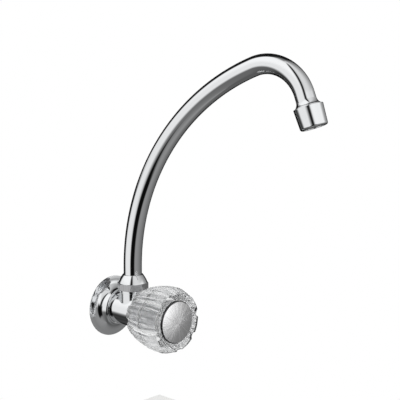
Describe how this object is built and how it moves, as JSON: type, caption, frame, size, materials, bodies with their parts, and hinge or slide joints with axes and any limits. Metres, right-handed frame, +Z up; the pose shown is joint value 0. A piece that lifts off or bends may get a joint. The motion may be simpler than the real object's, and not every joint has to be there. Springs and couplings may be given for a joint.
{
  "type": "laundry tap",
  "caption": "Wall-mounted laundry tap with a round wall flange, a swivelling swan-neck spout with an aerator, and a fluted clear round handle with a brushed button.",
  "frame": {"origin": "where the axis of the inlet thread crosses the wall plane", "axes": "+Z up, +Y into the wall along the inlet, so the handle faces -Y; +X to the right of someone who faces the tap"},
  "size_m": [0.0699, 0.2235, 0.2533],
  "materials": {
    "body_chrome": "polished",
    "flange_chrome": "polished",
    "nut_chrome": "polished",
    "spout_chrome": "polished",
    "button_chrome": "polished",
    "brushed_plate": "brushed",
    "clear_acrylic": "clear, polished",
    "plated_brass": "satin plated",
    "raw_brass": "machined",
    "screw_steel": "plated",
    "screen_steel": "satin",
    "black_rubber": "matt",
    "nylon": "matt",
    "fibre": "matt",
    "packing": "greased"
  },
  "bodies": {
    "body": {"tap_body": "body_chrome", "wall_flange": "flange_chrome", "bonnet": "plated_brass", "bonnet_gasket": "fibre", "gland_nut": "plated_brass", "gland_packing": "packing", "spout_nut": "nut_chrome"},
    "valve": {"jumper": "raw_brass", "seat_washer": "black_rubber", "washer_nut": "raw_brass"},
    "handle": {"spindle": "raw_brass", "handle_insert": "plated_brass", "acrylic_handle": "clear_acrylic", "handle_screw": "screw_steel", "button_cap": "button_chrome", "button_plate": "brushed_plate"},
    "spout": {"spout_tube": "spout_chrome", "spout_bush": "raw_brass", "o_ring_lower": "black_rubber", "o_ring_upper": "black_rubber", "slip_ring": "nylon", "outlet_cone": "spout_chrome", "aerator_housing": "spout_chrome", "aerator_gasket": "black_rubber", "aerator_cage": "nylon", "inlet_screen": "screen_steel", "outlet_screen": "screen_steel"}
  },
  "joints": [
    {"name": "spout_swivel", "type": "hinge", "parent": "body", "child": "spout", "pos_m": [0, -0.0275, 0], "axis": [0, 0, 1], "range_deg": [-100, 80]},
    {"name": "valve_lift", "type": "slide", "parent": "body", "child": "valve", "axis": [0, -1, 0], "range_m": [0, 0.005]},
    {"name": "handle_turn", "type": "hinge", "parent": "valve", "child": "handle", "pos_m": [0, -0.06, 0], "axis": [0, -1, 0], "range_deg": [0, 900]}
  ],
  "couplings": [
    {"joint": "valve_lift", "follows": "handle_turn", "m_per_rad": 0.0003183}
  ]
}
